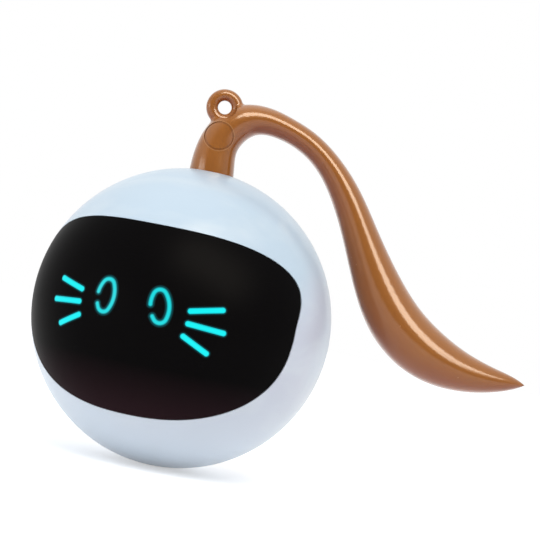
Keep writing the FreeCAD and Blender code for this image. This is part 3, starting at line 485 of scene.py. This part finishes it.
def pigment_and_painted_facing_light(tree, place):
    """Painted light and shade: golden where the tail faces up and redder underneath, with a tone
    that wanders with the plastic's flow.
    """
    # Painted light and shade: lighter and golden where the surface faces up, darker and redder
    # where it faces down.
    upward = upward_part(tree, add(tree, "ShaderNodeNewGeometry").outputs["Normal"])
    wander = grade(tree, noise(tree, place, size_mm=16, detail=2.0), first=-0.35, last=0.35)
    level = grade(tree, number(tree, "ADD", upward, wander), start=-1.0)
    return tint_run(tree, level, (0.15, "#8C4A2C"), (0.5, "#95571B"), (0.9, "#A3662B"))


def flake_glints(tree, place):
    """One on the few flakes that are painted pale as painted glints."""
    cells = add(tree, "ShaderNodeTexVoronoi", {"Vector": place, "Scale": per_metre(flake_spacing)})
    speck = number(tree, "LESS_THAN", cells.outputs["Distance"], flake_r)
    parts = add(tree, "ShaderNodeSeparateColor", {"Color": cells.outputs["Color"]})
    chosen = number(tree, "GREATER_THAN", parts.outputs["Red"], flakes_without_glint)
    return number(tree, "MULTIPLY", speck, chosen)


def with_painted_mark_lines(tree, place, base):
    """A colour with the neck's round mark on it, a painted shade line in its groove and a painted
    highlight on its rim, on the side that faces out.
    """
    from_mark = vector_sum(tree, "SUBTRACT", place, mark_centre)
    sunk = vector_sum(tree, "PROJECT", from_mark, tail_normal)
    across = vector_sum(tree, "LENGTH", vector_sum(tree, "SUBTRACT", from_mark, sunk))
    outward = vector_sum(tree, "DOT_PRODUCT", from_mark, tail_normal)
    in_front = number(tree, "GREATER_THAN", outward, 0.0)
    # Painted shade in the groove, then painted highlight on the rim beyond it.
    for line_r, half_width, strength, colour in mark_shade_and_highlight:
        line = thin_line(tree, number(tree, "SUBTRACT", across, line_r), half_width)
        share = number(tree, "MULTIPLY", line, number(tree, "MULTIPLY", in_front, strength))
        base = blend(tree, share, base, linear(colour))
    return base


def bronze_polypropylene():
    material, tree, shader = start_material(
        "bronze_pearl_pp_moulded", IOR=1.5, Coat_Weight=0.9, Coat_Roughness=0.15,
        Specular_Tint=linear("#FFCE96"), Specular_IOR_Level=0.25)
    place = object_place(tree)
    # Pale flakes are painted over the pigment as painted glints.
    base = blend(tree, flake_glints(tree, place), pigment_and_painted_facing_light(tree, place), linear("#D9A679"))
    grain = noise(tree, place, size_mm=0.5, detail=3.0)
    bead = thin_line(tree, vector_sum(tree, "DOT_PRODUCT", place, tail_normal), bead_half)
    rise = number(tree, "MULTIPLY_ADD", grain, grain_share, bead)
    connect(tree, shader, {
        "Base Color": with_painted_mark_lines(tree, place, base),
        "Roughness": grade(tree, grain, first=0.26, last=0.36),
        "Normal": dents(tree, rise, strength=0.2, depth_mm=0.06),
    })
    return material


dress(bronze_polypropylene(), "tail")

# %% [markdown]
# ## Finishes of the pieces inside
#
# Little of the inside shows, through the screw wells and round the charging port, but every
# piece gets the finish of what it is made of. Each is one moulded or machined stuff with a fine
# pattern, so one function takes its colours, the size of its pattern, its bumps and its gloss. A
# pattern that is squeezed along X is drawn out into lines along the pins and the motor.

# %% Plain moulded and machined stuffs
lines_along_x = (0.1, 1, 1)


def plain_stuff(name, dark, light, pattern_mm, bumps, stretch=(1, 1, 1), **surface):
    material, tree, shader = start_material(name, **surface)
    laid = add(tree, "ShaderNodeMapping", {"Vector": object_place(tree), "Scale": stretch})
    pattern = noise(tree, laid.outputs["Vector"], size_mm=pattern_mm, detail=4.0)
    connect(tree, shader, {
        "Base Color": blend(tree, pattern, linear(dark), linear(light)),
        "Normal": dents(tree, pattern, strength=bumps, depth_mm=0.05),
    })
    return material


# Black ABS from a spark-eroded mould: a fine even grain that kills the gloss.
black_abs = plain_stuff(
    "black_abs_spark_eroded", "#101012", "#1D1D20", pattern_mm=0.3, bumps=0.3, Roughness=0.55)
# Natural nylon: cream and half glossy, a little cloudy.
cream_nylon = plain_stuff(
    "natural_nylon_moulded", "#D8D3C2", "#E6E2D4", pattern_mm=3.0, bumps=0.1, Roughness=0.4)
# Natural acetal: the waxy off-white of moulded gears.
white_acetal = plain_stuff(
    "natural_acetal_gear", "#E2DFD4", "#EFEDE6", pattern_mm=1.2, bumps=0.08, Roughness=0.3)
# Zinc, die cast and tumbled: dull grey with small dents.
die_cast_zinc = plain_stuff(
    "zinc_die_cast_tumbled", "#7F8387", "#A9ADB0", pattern_mm=0.8, bumps=0.4,
    Metallic=1.0, Roughness=0.45)
# Steel pins ground along their length: bright, with fine lines.
ground_steel = plain_stuff(
    "ground_steel_pin", "#A9ABAE", "#C6C8CA", pattern_mm=0.1, bumps=0.15, stretch=lines_along_x,
    Metallic=1.0, Roughness=0.22)
# Steel screws with a zinc plating: silvery, slightly frosted.
plated_steel = plain_stuff(
    "zinc_plated_steel_screw", "#9FA5AA", "#C9CED2", pattern_mm=0.4, bumps=0.15,
    Metallic=1.0, Roughness=0.3)
# A motor's drawn can, nickel plated: warm grey with lines along the drawing.
nickel_can = plain_stuff(
    "nickel_plated_motor_can", "#B4B2AC", "#CBC9C3", pattern_mm=0.2, bumps=0.1,
    stretch=lines_along_x, Metallic=1.0, Roughness=0.25)
# Glass laminate under green solder mask: a glossy lacquer with darker and lighter patches.
solder_mask = plain_stuff(
    "green_solder_mask_board", "#0C3B22", "#14512F", pattern_mm=1.5, bumps=0.2, Roughness=0.35)
# Rolled brass: bright yellow metal.
brass_tab = plain_stuff(
    "rolled_brass_tab", "#B08A3C", "#C9A354", pattern_mm=0.3, bumps=0.1,
    Metallic=1.0, Roughness=0.3)
# The cell's pouch of plastic-coated aluminium foil: silvery and slightly crumpled.
foil_pouch = plain_stuff(
    "aluminium_laminate_pouch", "#A7ABB0", "#C3C6CA", pattern_mm=4.0, bumps=0.35,
    Metallic=0.8, Roughness=0.42)
# EVA foam: matt black with open pores.
black_foam = plain_stuff(
    "black_eva_foam_pad", "#0B0B0B", "#202020", pattern_mm=0.25, bumps=0.8, Roughness=0.9)
# Moulded epoxy of a chip: dark and finely grainy.
chip_epoxy = plain_stuff(
    "black_epoxy_chip", "#0C0C0D", "#1A1A1B", pattern_mm=0.15, bumps=0.25, Roughness=0.5)
# A diode's window of silicone with yellow phosphor in it.
diode_silicone = plain_stuff(
    "phosphor_silicone_diode", "#D8CE7A", "#EFE7A2", pattern_mm=0.4, bumps=0.1, Roughness=0.35)
# Gold over nickel, for the charging port's contacts: bright and warm, with hardly any pattern.
gilt = plain_stuff(
    "gold_plated_contact", "#C9962F", "#E3B860", pattern_mm=0.3, bumps=0.05,
    Metallic=1.0, Roughness=0.22)

dress(black_abs, "light_baffle", "gearbox_cover", "battery_strap", "weight_carrier",
      "bush_left", "bush_right", "switch_body", "switch_plunger", "charge_port_tongue")
dress(cream_nylon, "chassis_frame", "motor_end_cap")
dress(white_acetal, "motor_pinion", "compound_gear_1", "compound_gear_2", "output_gear")
dress(die_cast_zinc, "eccentric_weight")
dress(ground_steel, "gear_pins", "drive_axle", "motor_shaft", "weight_rivets")
dress(plated_steel, "face_screws", "cover_screws", "strap_screws", "board_screws",
      "shell_screws", "charge_port_shell")
dress(nickel_can, "drive_motor")
dress(solder_mask, "face_board", "main_board")
dress(brass_tab, "motor_terminals")
dress(foil_pouch, "battery_cell")
dress(black_foam, "battery_pad")
dress(chip_epoxy, "board_chips")
dress(diode_silicone, "face_leds")

# %% [markdown]
# ## Helpers for new pieces
#
# The pieces that are finer than CAD are modelled as one would at the screen: a primitive is added,
# some of its points are picked and bevelled or tapered, and its place is written into its mesh, so
# that every piece stands unturned at the origin as the CAD pieces do.

# %% Modelling helpers
smooth_below = math.radians(35)


def pick(piece):
    """Makes a piece the only selected one and the active one."""
    bpy.ops.object.select_all(action="DESELECT")
    piece.select_set(True)
    bpy.context.view_layer.objects.active = piece


def new_piece(add_shape, scale=(1, 1, 1), **settings):
    """Adds a primitive, and writes its place, turn and scale into its mesh."""
    bpy.ops.object.select_all(action="DESELECT")
    add_shape(**settings)
    piece = bpy.context.object
    piece.scale = scale
    bpy.ops.object.transform_apply(location=True, rotation=True, scale=True)
    return piece


def open_mesh(piece, wanted):
    """Opens a mesh for editing with only the wanted points selected."""
    bpy.context.view_layer.objects.active = piece
    mesh = piece.data
    for part in (*mesh.polygons, *mesh.edges):
        part.select = False
    for point in mesh.vertices:
        point.select = wanted(point.co)
    bpy.ops.object.mode_set(mode="EDIT")
    bpy.ops.mesh.select_mode(type="VERT")


def close_mesh():
    bpy.ops.object.mode_set(mode="OBJECT")


def cut(piece, tools):
    """Takes the tools' shapes out of a piece, and deletes the tools."""
    for tool in tools:
        pick(piece)
        step = piece.modifiers.new("cut", "BOOLEAN")
        step.operation = "DIFFERENCE"
        step.solver = "EXACT"
        step.object = tool
        bpy.ops.object.modifier_apply(modifier=step.name)
        bpy.data.objects.remove(tool, do_unlink=True)


def join(pieces, name):
    pick(pieces[0])
    for piece in pieces:
        piece.select_set(True)
    bpy.ops.object.join()
    whole = bpy.context.object
    whole.name = name
    return whole


def duplicate(piece, name):
    """A copy with a mesh of its own."""
    pick(piece)
    bpy.ops.object.duplicate(linked=False)
    twin = bpy.context.object
    twin.name = name
    return twin


def settle(piece, place, turn=(0, 0, 0)):
    """Moves and turns a piece, and writes that into its mesh."""
    pick(piece)
    piece.rotation_euler = turn
    piece.location = place
    bpy.ops.object.transform_apply(location=True, rotation=True, scale=True)


# %% [markdown]
# ## Shell screws
#
# Four self-tapping screws hold the shells together, and their heads show at the bottom of the
# wells in the back. The CAD node has plain heads. One screw is modelled here along Z, with its
# seat at the origin: a pan head with a rounded rim, a cross recess cut out of it, and a shank with
# a thread wound round it.

# %% Sizes of a screw
head_r, head_height, head_rim = mm(2.2), mm(1.6), mm(0.55)
recess_length, recess_width, recess_depth = mm(2.5), mm(0.6), mm(1.05)
recess_taper = 0.45
shank_r, shank_length, tip_bevel = mm(0.78), mm(14.5), mm(0.5)
thread_r, thread_root_r, thread_half = mm(1.05), shank_r * 0.95, mm(0.3)
thread_start, thread_pitch, thread_turns = mm(1.4), mm(1.0), 11
steps_per_turn = 24


# %% One screw
def pan_head():
    head = new_piece(
        bpy.ops.mesh.primitive_cylinder_add, vertices=64, radius=head_r, depth=head_height,
        location=(0, 0, head_height / 2))
    open_mesh(head, lambda at: at.z > head_height / 2)
    bpy.ops.mesh.bevel(offset=head_rim, segments=6, affect="EDGES")
    close_mesh()
    return head


def cross_cutter():
    """Two bars that taper towards the bottom of the recess."""
    bars = []
    for turn in (0, math.pi / 2):
        bar = new_piece(
            bpy.ops.mesh.primitive_cube_add, size=1, location=(0, 0, head_height),
            rotation=(0, 0, turn), scale=(recess_length, recess_width, recess_depth * 2))
        open_mesh(bar, lambda at: at.z < head_height)
        bpy.ops.transform.resize(value=(recess_taper, recess_taper, 1))
        close_mesh()
        bars.append(bar)
    return bars


def shank_core():
    core = new_piece(
        bpy.ops.mesh.primitive_cylinder_add, vertices=32, radius=shank_r, depth=shank_length,
        location=(0, 0, -shank_length / 2))
    open_mesh(core, lambda at: at.z < -shank_length / 2)
    bpy.ops.mesh.bevel(offset=tip_bevel, segments=3, affect="EDGES")
    close_mesh()
    return core


def thread_ridge():
    """A triangle wound round the shank, with its ends closed."""
    ridge = new_piece(
        bpy.ops.mesh.primitive_circle_add, vertices=3, radius=1, fill_type="NOTHING",
        rotation=(math.pi / 2, 0, 0))
    corners = [(thread_r, 0), (thread_root_r, thread_half), (thread_root_r, -thread_half)]
    for point, (out, along) in zip(ridge.data.vertices, corners):
        point.co = (out, 0, along - thread_start)
    winding = ridge.modifiers.new("winding", "SCREW")
    winding.axis = "Z"
    winding.screw_offset = -thread_pitch
    winding.iterations = thread_turns
    winding.steps = winding.render_steps = steps_per_turn
    winding.use_merge_vertices = False
    bpy.ops.object.modifier_apply(modifier=winding.name)
    open_mesh(ridge, lambda at: True)
    bpy.ops.mesh.fill_holes(sides=len(corners))
    bpy.ops.mesh.normals_make_consistent(inside=False)
    close_mesh()
    return ridge


screw_head = pan_head()
cut(screw_head, cross_cutter())
screw = join([screw_head, shank_core(), thread_ridge()], "shell_screw_1")
screw.data.materials.clear()
screw.data.materials.append(plated_steel)
bpy.ops.object.shade_smooth_by_angle(angle=smooth_below)
print("screw:", len(screw.data.polygons), "faces")

# %% [markdown]
# The screw is turned so that its head looks out of the back, and copied to the four wells. Each
# stops at a turn of its own, so their crosses don't line up.

# %% Four screws
# Seat and spacing of the wells, as in the CAD model.
screw_seat_y = mm(6.5)
screw_across, screw_up = mm(17), mm(21.49)
# Turn of the first cross and from each to the next, in degrees.
first_turn, turn_step = 25, 31

screws = [screw] + [duplicate(screw, f"shell_screw_{n}") for n in (2, 3, 4)]
wells = [(x, z) for x in (-1, 1) for z in (-1, 1)]
for n, (piece, (x, z)) in enumerate(zip(screws, wells)):
    place = (x * screw_across, screw_seat_y, ball_centre.z + z * screw_up)
    settle(piece, place, (-math.pi / 2, math.radians(first_turn + turn_step * n), 0))
    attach(piece, "ball")
    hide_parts("shell_screws")
print("screws at the four corners of", screw_across * 2000, "by", round(screw_up * 2000, 2), "mm")

# %% [markdown]
# ## Contacts of the charging port
#
# The tongue inside the port carries twelve gilt contacts on each face, half a millimetre apart.
# One contact is a thin strip with its front end rounded down, so that a plug slides over it.

# %% Port contacts
contact_count, contact_pitch = 12, mm(0.5)
contact_width, contact_length, contact_height = mm(0.26), mm(3.6), mm(0.04)
contact_setback, contact_sunk, contact_bevel = mm(0.45), mm(0.01), mm(0.03)
tongue_low, tongue_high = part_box("charge_port_tongue")


def one_contact():
    strip = new_piece(
        bpy.ops.mesh.primitive_cube_add, size=1,
        scale=(contact_width, contact_length, contact_height))
    open_mesh(strip, lambda at: at.y > 0 and at.z > 0)
    bpy.ops.mesh.bevel(offset=contact_bevel, segments=3, affect="EDGES")
    close_mesh()
    strip.data.materials.append(gilt)
    bpy.ops.object.shade_smooth_by_angle(angle=smooth_below)
    return strip


contact = one_contact()
contact_y = tongue_high.y - contact_setback - contact_length / 2
contact_rise = contact_height / 2 - contact_sunk
# Each face's name, height of the contacts' middle, and turn of a contact about its length.
tongue_faces = [
    ("lower", tongue_low.z - contact_rise, math.pi),
    ("upper", tongue_high.z + contact_rise, 0),
]
for face, contact_z, turn in tongue_faces:
    for n in range(contact_count):
        twin = duplicate(contact, f"port_contact_{face}_{n + 1}")
        across = (n - (contact_count - 1) / 2) * contact_pitch
        settle(twin, (across, contact_y, contact_z), (0, turn, 0))
        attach(twin, "ball")
bpy.data.objects.remove(contact, do_unlink=True)
print(contact_count, "contacts on each face of the tongue, which is",
      [round(v * 1000, 2) for v in (tongue_high - tongue_low)], "mm")

# %% [markdown]
# ## Studio
#
# A product photograph like this is made in a light tent: white paper below, white cloth round it,
# and broad soft lamps. The floor is one flat sheet of paper, so wide that its far edge melts into
# the white behind. It stays a real surface that takes the toy's shadow. A little white is added
# only for the rays that show it, straight, mirrored or let through, so that it reads as clean white
# paper while the toy gets no extra light from it.

# %% Paper floor
paper_width = 3.2
paper_lift = 0.45
sweep = new_piece(bpy.ops.mesh.primitive_plane_add, size=paper_width)
sweep.name = "paper_sweep"
print("paper", paper_width, "m wide")


def shows_background(tree):
    """One for rays that show the background: the camera's, and those mirrored or let through."""
    path = add(tree, "ShaderNodeLightPath")
    mirrored = number(tree, "MAXIMUM", path.outputs["Is Camera Ray"], path.outputs["Is Glossy Ray"])
    return number(tree, "MAXIMUM", mirrored, path.outputs["Is Transmission Ray"])


def white_paper():
    material, tree, shader = start_material("matt_white_paper", Roughness=0.9)
    fibre = noise(tree, object_place(tree), size_mm=2.5, detail=3.0)
    connect(tree, shader, {"Base Color": blend(tree, fibre, linear("#F4F4F5"), linear("#F8F8F8"))})
    paper = shader.outputs["BSDF"]
    lift = add(tree, "ShaderNodeEmission", {"Strength": paper_lift}).outputs["Emission"]
    lifted = add(tree, "ShaderNodeAddShader", {0: paper, 1: lift}).outputs["Shader"]
    seen = add(tree, "ShaderNodeMixShader", {"Fac": shows_background(tree), 1: paper, 2: lifted})
    connect(tree, tree.nodes["Material Output"], {"Surface": seen.outputs["Shader"]})
    return material


sweep.data.materials.append(white_paper())

# %% [markdown]
# ## Light tent
#
# The tent glows evenly, a little below white, and is white for the rays that show it. It is open
# where the photographer stands, so it is darker on that side.

# %% World
tent_level, opening_level = 0.66, 0.35
# Cosine of the angle to the camera's direction where the opening starts and where it is full.
opening_starts, opening_full = 0.4, 0.85

world = bpy.data.worlds.new("light_tent")
bpy.context.scene.world = world
world.use_nodes = True
sky = world.node_tree
level = grade(sky, shows_background(sky), first=tent_level, last=1.0)
way = add(sky, "ShaderNodeTexCoord").outputs["Generated"]
opening = grade(
    sky, vector_sum(sky, "DOT_PRODUCT", way, towards_camera), start=opening_starts,
    end=opening_full, first=1.0, last=opening_level, kind="SMOOTHSTEP")
camera_ray = add(sky, "ShaderNodeLightPath").outputs["Is Camera Ray"]
strength = blend(sky, camera_ray, number(sky, "MULTIPLY", level, opening), 1.0, kind="FLOAT")
backdrop = sky.nodes["Background"]
backdrop.inputs["Color"].default_value = (1, 1, 1, 1)
connect(sky, backdrop, {"Strength": strength})

# %% [markdown]
# ## Lamps
#
# A long strip box stands up and to the right of the lens. It is there only to be mirrored, as the
# cream light along the tail's shoulder and the faint patch on the visor, so it doesn't light matt
# surfaces. The key lamp near it does that, and isn't mirrored. A weak lamp overhead lifts the
# crown, one on the left fills that side, and the tent does the rest.

# %% Lamps
def seen_from_camera(tilt, turn):
    """Direction that leans by tilt away from the camera's, towards turn on the picture."""
    tilt, turn = math.radians(tilt), math.radians(turn)
    in_picture = right * math.cos(turn) + up * math.sin(turn)
    return (towards_camera * math.cos(tilt) + in_picture * math.sin(tilt)).normalized()


def soft_lamp(name, tilt, turn, distance, size, watts, colour="#FFFBF5"):
    """Rectangular lamp that points at the ball's centre.

    The first of its two sizes runs round the camera's direction, the second away from it."""
    data = bpy.data.lights.new(name, "AREA")
    data.shape = "RECTANGLE"
    data.energy = watts
    data.color = linear(colour)[:3]
    data.size, data.size_y = size
    aim = seen_from_camera(tilt, turn)
    along = aim.cross(towards_camera).normalized()
    lamp_axes = Matrix((along, aim.cross(along), aim)).transposed().to_4x4()
    lamp = bpy.data.objects.new(name, data)
    lamp.matrix_world = Matrix.Translation(ball_centre + aim * distance) @ lamp_axes
    bpy.context.collection.objects.link(lamp)
    print(name, "at", [round(v, 2) for v in lamp.location])
    return lamp


shoulder_strip = soft_lamp(
    "shoulder_strip", tilt=45, turn=58, distance=0.9, size=(0.9, 0.42), watts=13.0,
    colour="#FFF6E4")
shoulder_strip.visible_diffuse = False
key_lamp = soft_lamp("key_lamp", tilt=55, turn=70, distance=0.9, size=(0.6, 0.5), watts=4.0)
key_lamp.visible_glossy = False
soft_lamp("overhead_lamp", tilt=100, turn=90, distance=0.7, size=(0.6, 0.4), watts=0.3)
soft_lamp("left_fill", tilt=60, turn=162, distance=0.8, size=(0.14, 0.5), watts=0.9)
